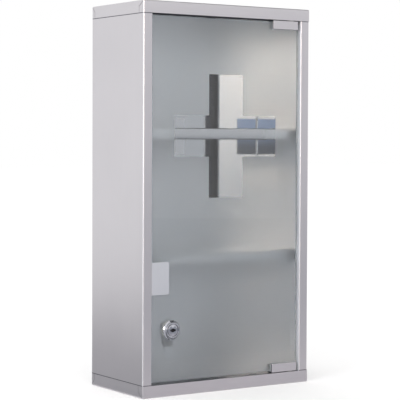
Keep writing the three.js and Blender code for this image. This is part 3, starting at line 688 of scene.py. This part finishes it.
makeBackPan()
makeDoorPane()
print("door pane and back pan made")

# Strike clip.
strikeSettings = {"sheet": 0.8, "fold": 0.6, "corner": 2.3, "rearLeg": 18.9, "edge": 0.25}


def makeStrikeClip():
    s = strikeSettings
    low, high = millimetres("strike_clip")
    half = s["sheet"] / 2
    path = [
        (high.x, low.y + half),
        (low.x + half, low.y + half),
        (low.x + half, high.y - half),
        (low.x + s["rearLeg"], high.y - half),
    ]
    bm = foldedStrip(path, "z", (low.z, high.z), s["fold"])
    ends = low.x + s["rearLeg"] - hair
    corners = [v for v in bm.verts if len(v.link_faces) == 1 and v.co.x > ends]
    rounded(bm, corners, s["corner"], "VERTICES")
    finishPiece(
        "strikePlate", bm, strikeSteel, "door", ["strike_clip"],
        s["sheet"], s["edge"],
    )


makeStrikeClip()
print("strike clip made")

# Hinge clips. Their ends are painted dark, a painted shade beside the glass.
clipSettings = {"jaw": 3.0, "web": 1.4, "edge": 0.5}


def makeHingeClips():
    s = clipSettings
    for name, node, up in (
        ("hingeClipTop", "hinge_clip_top", 1), ("hingeClipBottom", "hinge_clip_bottom", -1),
    ):
        low, high = millimetres(node)
        outer, foot = (high.z, low.z) if up > 0 else (low.z, high.z)
        slot = outer - up * s["web"]
        front, rear = low.y + s["jaw"], high.y - s["jaw"]
        outline = [
            (low.y, foot), (low.y, outer), (high.y, outer), (high.y, foot),
            (rear, foot), (rear, slot), (front, slot), (front, foot),
        ]
        bm = bmesh.new()
        addBar(bm, [(low.x, y, z) for y, z in outline], (high.x - low.x, 0, 0))
        bmesh.ops.recalc_face_normals(bm, faces=bm.faces)
        for face in bm.faces:
            if abs(face.normal.x) > facing:
                face.material_index = 1
        clip = finishPiece(name, bm, satinAcross, "door", [node], edge=s["edge"])
        addFinishes(clip, paintedShadeSteel)


makeHingeClips()
print("hinge clips made")

# Lock. The lead is the way from the bezel's face into the recess round the plug.
lockSettings = {
    "base": 12.0, "face": 9.5, "seat": -0.7, "rise": 3.9, "rim": 0.6, "thread": 8.0, "tail": 12.7,
    "round": 0.6, "lean": 0.7, "turns": (0.0, 0.4, 0.8, 1.2, math.pi / 2),
    "recess": 7.85, "lead": ((0.45, 0.0), (0.12, 0.14), (0.0, 0.5)), "bore": 5.58,
    "plug": 7.15, "sink": 0.3, "shaft": 5.5, "headDepth": 2.5, "headPlay": 0.08,
    "peg": 3.5, "pegLength": 2.1, "keyway": (4.0, 1.2), "ward": (2.0, 2.1), "keyDepth": 3.5,
    "cut": 1e-6, "steps": 96,
}


def makeLock():
    s = lockSettings
    low, high = millimetres("lock_barrel")
    seatPlace = low.y + s["rise"] - s["seat"]
    centre = Vector(((low.x + high.x) / 2, seatPlace, (low.z + high.z) / 2))
    face = s["seat"] - s["rise"]
    top = face + s["sink"]
    head = top + s["headDepth"]
    pegEnd = s["tail"] + s["pegLength"]
    shoulder = []
    for angle in s["turns"]:
        out = s["round"] * (s["lean"] * math.cos(angle) - s["lean"])
        shoulder.append((s["face"] + out, face + s["round"] * (1 - math.sin(angle))))
    barrel = [
        (s["bore"], s["tail"]), (s["thread"], s["tail"]), (s["thread"], s["seat"]),
        (s["base"], s["seat"]), (s["base"], s["seat"] - s["rim"]),
        *shoulder,
        *[(s["recess"] + out, face + depth) for out, depth in s["lead"]],
        (s["recess"], head + s["headPlay"]), (s["bore"], head + s["headPlay"]),
    ]
    bm = turnedBody(barrel, centre, s["steps"], closed=True)
    finishPiece("lockBezel", bm, chromePlate, "door", ["lock_barrel"])
    plug = [
        (0.0, top), *easedRim(s["plug"], top), (s["plug"], head), (s["shaft"], head),
        (s["shaft"], s["tail"]), (s["peg"], s["tail"]), (s["peg"], pegEnd), (0.0, pegEnd),
    ]
    bm = turnedBody(plug, Vector((0, 0, 0)), s["steps"])
    cutKeyway(bm, top)
    bmesh.ops.translate(bm, verts=bm.verts, vec=centre)
    plugFace = finishPiece("lockPlugFace", bm, chromePlate, "lock", ["lock_plug"])
    addFinishes(plugFace, blackSteel)


# The keyway is a flat slot with a rounder middle, sunk into the face of the plug.
def cutKeyway(bm, top):
    s = lockSettings
    openings = (s["keyway"], s["ward"])

    def isFront(face):
        return face.normal.y < -squarely and face.calc_center_median().y < top + hair

    def isOpening(face):
        middle = face.calc_center_median()
        return any(abs(middle.x) < wide and abs(middle.z) < tall for wide, tall in openings)

    planes = []
    for wide, tall in openings:
        planes += [((side * wide, 0, 0), (1, 0, 0)) for side in (-1, 1)]
        planes += [((0, 0, side * tall), (0, 0, 1)) for side in (-1, 1)]
    for point, normal in planes:
        front = [face for face in bm.faces if isFront(face)]
        cutFaces(bm, front, point, normal, s["cut"])
    slot = [face for face in bm.faces if isFront(face) and isOpening(face)]
    grown = bmesh.ops.extrude_face_region(bm, geom=slot)["geom"]
    bmesh.ops.delete(bm, geom=slot, context="FACES")
    # The slot's floor is painted black, a painted shade for the deep keyhole.
    floor = vertsIn(grown)
    bmesh.ops.translate(bm, verts=floor, vec=(0, s["keyDepth"], 0))
    for vert in floor:
        for face in vert.link_faces:
            face.material_index = 1


makeLock()
print("lock made")

# Rivets: a domed head, a shank through what it grips, and a bulb behind.
rivetSettings = {
    "shank": 1.6, "head": 3.3, "dome": 1.1, "flank": 0.25, "seam": 0.1,
    "backGrip": 1.7, "shelfGrip": 2.1,
    "bulb": 2.4, "bulbLength": 2.2, "swell": 0.3, "taper": (0.9, 0.8),
    "domeSteps": 6, "steps": 32,
}


def rivetProfile(grip):
    s = rivetSettings
    dome = []
    for i in range(s["domeSteps"] + 1):
        angle = math.pi / 2 * i / s["domeSteps"]
        rise = s["flank"] + (1 - s["flank"]) * math.cos(angle)
        dome.append((s["head"] * math.sin(angle), s["seam"] + s["dome"] * rise))
    end = -grip - s["seam"]
    narrow, late = s["taper"]
    return [
        *dome, (s["head"], s["seam"]), (s["shank"], s["seam"]), (s["shank"], end),
        (s["bulb"], end - s["bulbLength"] * s["swell"]),
        (s["bulb"] * narrow, end - s["bulbLength"] * late),
        (0.0, end - s["bulbLength"]),
    ]


def makeRivets():
    s = rivetSettings
    for end in ("top", "bottom"):
        for i in (1, 2, 3):
            node = f"back_rivet_{end}_{i}"
            low, high = millimetres(node)
            seat = high.y - s["dome"] - s["seam"]
            centre = ((low.x + high.x) / 2, seat, (low.z + high.z) / 2)
            bm = turnedBody(rivetProfile(s["backGrip"]), centre, s["steps"])
            name = f"backRivet{end.title()}{i}"
            finishPiece(name, bm, zincPlate, "cabinet", [node])
    for level in ("upper", "lower"):
        for side in ("left", "right"):
            node = f"shelf_rivet_{level}_{side}"
            low, high = millimetres(node)
            seat = high.z - s["dome"] - s["seam"]
            centre = ((low.x + high.x) / 2, (low.y + high.y) / 2, seat)
            bm = turnedBody(rivetProfile(s["shelfGrip"]), centre, s["steps"], "z")
            name = f"shelfRivet{level.title()}{side.title()}"
            finishPiece(name, bm, zincPlate, "cabinet", [node])


makeRivets()
print("rivets made")

# Push latch.
latchSettings = {
    "push": 3.0, "plunger": 4.0, "length": 24.0, "magnet": 3.0, "magnetChamfer": 0.2,
    "pocket": 3.1, "spring": 3.1, "springSeat": 4.0, "steps": 48,
}


def makeLatch():
    s = latchSettings
    low, high = millimetres("latch_plunger")
    tip = Vector(((low.x + high.x) / 2, low.y, (low.z + high.z) / 2))
    seatPlace = s["length"] - s["springSeat"]
    plunger = [
        (0.0, s["pocket"]), (s["pocket"], s["pocket"]), (s["pocket"], 0.0),
        *easedRim(s["plunger"], 0.0), (s["plunger"], s["length"]),
        (s["spring"], s["length"]), (s["spring"], seatPlace), (0.0, seatPlace),
    ]
    bm = turnedBody(plunger, tip, s["steps"])
    finishPiece("latchPlunger", bm, greyPlastic, "plunger", ["latch_plunger"])
    magnet = [
        (0.0, 0.0), (s["magnet"] - s["magnetChamfer"], 0.0), (s["magnet"], s["magnetChamfer"]),
        (s["magnet"], s["magnet"]), (0.0, s["magnet"]),
    ]
    bm = turnedBody(magnet, tip, s["steps"])
    finishPiece("latchMagnet", bm, magnetPlate, "plunger", ["latch_magnet"])
    low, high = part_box("latch_spring")
    bm = copiedSolid("latch_spring")
    spring = finishPiece(
        "latchSpring", bm, zincPlate, "cabinet", ["latch_spring"],
    )
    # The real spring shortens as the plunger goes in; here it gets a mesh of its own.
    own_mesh(spring)


makeLatch()
print("latch made")

# Finishes of the pieces that keep their own shape.
kept = {
    "ceiling_panel": ceilingSteel, "floor_panel": floorSteel, "lock_cam": brightZinc,
    "lock_nut": brightZinc, "latch_housing": greyPlastic, "lock_gasket": softVinyl,
    "lock_washer": naturalNylon,
}
slotFinish = {
    "satin_steel": satinAcross, "polished_steel": polishedAcross, "zinc_steel": zincPlate,
    "dark_steel": blackSteel, "frosted_glass": blastedGlass, "chrome": chromePlate,
    "clear_rubber": softVinyl, "white_nylon": naturalNylon, "grey_plastic": greyPlastic,
    "magnet": magnetPlate,
}
for row in frame["record"]["subparts"]:
    node = nodes[row["node"]]
    material = kept.get(row["node"], slotFinish[row["material_slot"]])
    node.data.materials.clear()
    node.data.materials.append(material)
print("finishes set")

# Studio. Flags lie on the floor between x and y or within an outline, stand along a line between
# two heights, or hang at a height.
studioSettings = {
    "world": 1.0,
    "floorColour": (0.92, 0.92, 0.92, 1.0),
    "floorRoughness": 0.9,
    "floorGlow": 0.10,
    "floorSize": 12.0,
    "flagLevel": 0.001,
    "lamps": [
        {"name": "softBox", "at": (-1.36, -2.04, 1.2), "to": (0, 0, 0.3), "size": (1.2, 0.80),
         "power": 9.0, "colour": (1.0, 0.93, 0.86)},
        {"name": "stripLamp", "at": (-2.0, -1.0, 0.66), "to": (0, 0, 0.46), "size": (0.6, 0.94),
         "power": 13.0, "colour": (0.96, 0.98, 1.0)},
    ],
    "flags": [
        {"name": "nearFlag", "x": (-0.72, -0.126), "y": (-0.062, 0.72),
         "tone": (0.38, 0.38, 0.40)},
        {"name": "leftFloorFlag", "outline": ((-0.126, -0.062), (-3.6, -4.2), (-0.126, -6.0)),
         "tone": (0.48, 0.50, 0.54)},
        {"name": "sideFloorFlag", "outline": ((-0.126, -0.062), (-7.0, -0.062), (-3.6, -4.2)),
         "tone": (0.64, 0.64, 0.66)},
        {"name": "frontFloorFlag", "x": (-0.126, 1.5), "y": (-0.3, -0.062),
         "tone": (0.60, 0.58, 0.61)},
        {"name": "rightFloorFlag", "x": (-0.126, 6.0), "y": (-6.0, -0.3),
         "tone": (0.39, 0.40, 0.44)},
        {"name": "tableFlag", "from": (-2.10, -2.75), "to": (-1.70, -3.01), "z": (0.0, 0.31),
         "tone": (0.11, 0.115, 0.135)},
        {"name": "standFlag", "from": (-2.10, -2.75), "to": (-1.70, -3.01), "z": (0.31, 0.52),
         "tone": (0.60, 0.74, 1.02)},
        {"name": "lowFlag", "from": (-3.6, -2.0), "to": (-0.5, -4.1), "z": (0.0, 0.34),
         "tone": (0.50, 0.51, 0.52)},
        {"name": "warmFlag", "from": (-3.6, -2.0), "to": (-0.5, -4.1), "z": (0.34, 0.75),
         "tone": (0.92, 0.87, 0.85)},
        {"name": "glowFlag", "from": (-2.66, -2.56), "to": (-1.34, -3.44), "z": (0.75, 1.5),
         "tone": (5.9, 4.6, 3.5)},
        {"name": "rightRoomFlag", "from": (0.2, -4.6), "to": (4.4, -2.0), "z": (0.0, 0.55),
         "tone": (0.94, 0.93, 0.95)},
        {"name": "rightUpperFlag", "from": (0.2, -4.6), "to": (4.4, -2.0), "z": (0.55, 1.3),
         "tone": (0.88, 0.87, 0.89)},
        {"name": "overheadFlag", "x": (0.5, 2.4), "y": (-1.3, 1.3), "height": 2.3,
         "tone": (0.04, 0.04, 0.05)},
    ],
}


def flagCorners(flag):
    level = flag.get("height", studioSettings["flagLevel"])
    if "x" in flag:
        (left, right), (front, rear) = flag["x"], flag["y"]
        outline = ((left, front), (right, front), (right, rear), (left, rear))
        return [(*corner, level) for corner in outline]
    if "outline" in flag:
        return [(*corner, level) for corner in flag["outline"]]
    start, end, (foot, head) = flag["from"], flag["to"], flag["z"]
    return [(*start, foot), (*end, foot), (*end, head), (*start, head)]


def stageSheet(name, corners):
    bm = bmesh.new()
    bm.faces.new([bm.verts.new(corner) for corner in corners])
    mesh = bpy.data.meshes.new(name)
    bm.to_mesh(mesh)
    bm.free()
    sheet = bpy.data.objects.new(name, mesh)
    scene.collection.objects.link(sheet)
    return sheet


# A flag is a card off camera that only the metal and the glass see. It gives their reflections
# the tones of a room.
def makeFlag(flag):
    card = stageSheet(flag["name"], flagCorners(flag))
    material = bpy.data.materials.new(flag["name"])
    material.use_nodes = True
    tree = material.node_tree
    tree.nodes.clear()
    light = {"Color": (*flag["tone"], 1.0), "Strength": 1.0}
    glow = addNode(tree, "ShaderNodeEmission", light)
    addNode(tree, "ShaderNodeOutputMaterial", {"Surface": glow.outputs[0]})
    card.data.materials.append(material)
    card.visible_camera = False
    card.visible_diffuse = False
    card.visible_shadow = False


def makeLamp(lamp):
    light = bpy.data.lights.new(lamp["name"], "AREA")
    light.shape = "RECTANGLE"
    light.size, light.size_y = lamp["size"]
    light.energy = lamp["power"]
    light.color = lamp["colour"]
    holder = bpy.data.objects.new(lamp["name"], light)
    scene.collection.objects.link(holder)
    holder.location = lamp["at"]
    holder.rotation_mode = "QUATERNION"
    aim = Vector(lamp["to"]) - Vector(lamp["at"])
    holder.rotation_quaternion = aim.to_track_quat("-Z", "Y")
    holder.visible_camera = False


def makeStudio():
    s = studioSettings
    world = bpy.data.worlds.new("studio")
    scene.world = world
    world.use_nodes = True
    background = world.node_tree.nodes["Background"]
    background.inputs["Color"].default_value = (1, 1, 1, 1)
    background.inputs["Strength"].default_value = s["world"]
    reach = s["floorSize"]
    corners = ((-reach, -reach), (reach, -reach), (reach, reach), (-reach, reach))
    floor = stageSheet("floor", [(*corner, 0.0) for corner in corners])
    material, _, shader = startMaterial("floorPaper")
    shader.inputs["Base Color"].default_value = s["floorColour"]
    shader.inputs["Roughness"].default_value = s["floorRoughness"]
    shader.inputs["Specular IOR Level"].default_value = 0.0
    shader.inputs["Emission Color"].default_value = (1, 1, 1, 1)
    shader.inputs["Emission Strength"].default_value = s["floorGlow"]
    floor.data.materials.append(material)
    for flag in s["flags"]:
        makeFlag(flag)
    for lamp in s["lamps"]:
        makeLamp(lamp)


makeStudio()

# Camera. The shift keeps the upright edges near parallel, as in the photo.
cameraSettings = {
    "at": (-1.0548, -1.5872, 0.3149), "azimuth": -33.560, "pitch": 1.696, "roll": 0.220,
    "lens": 134.083, "sensor": 36.0, "shift": -0.0450,
}


def makeCamera():
    s = cameraSettings
    azimuth, pitch = math.radians(s["azimuth"]), math.radians(s["pitch"])
    level = math.cos(pitch)
    back = Vector((math.sin(azimuth) * level, -math.cos(azimuth) * level, math.sin(pitch)))
    data = bpy.data.cameras.new("camera")
    data.lens = s["lens"]
    data.sensor_width = s["sensor"]
    data.shift_y = s["shift"]
    camera = bpy.data.objects.new("camera", data)
    scene.collection.objects.link(camera)
    camera.location = s["at"]
    camera.rotation_mode = "QUATERNION"
    roll = Quaternion((0, 0, 1), math.radians(s["roll"]))
    camera.rotation_quaternion = (-back).to_track_quat("-Z", "Y") @ roll
    scene.camera = camera


makeCamera()
print("studio and camera set")
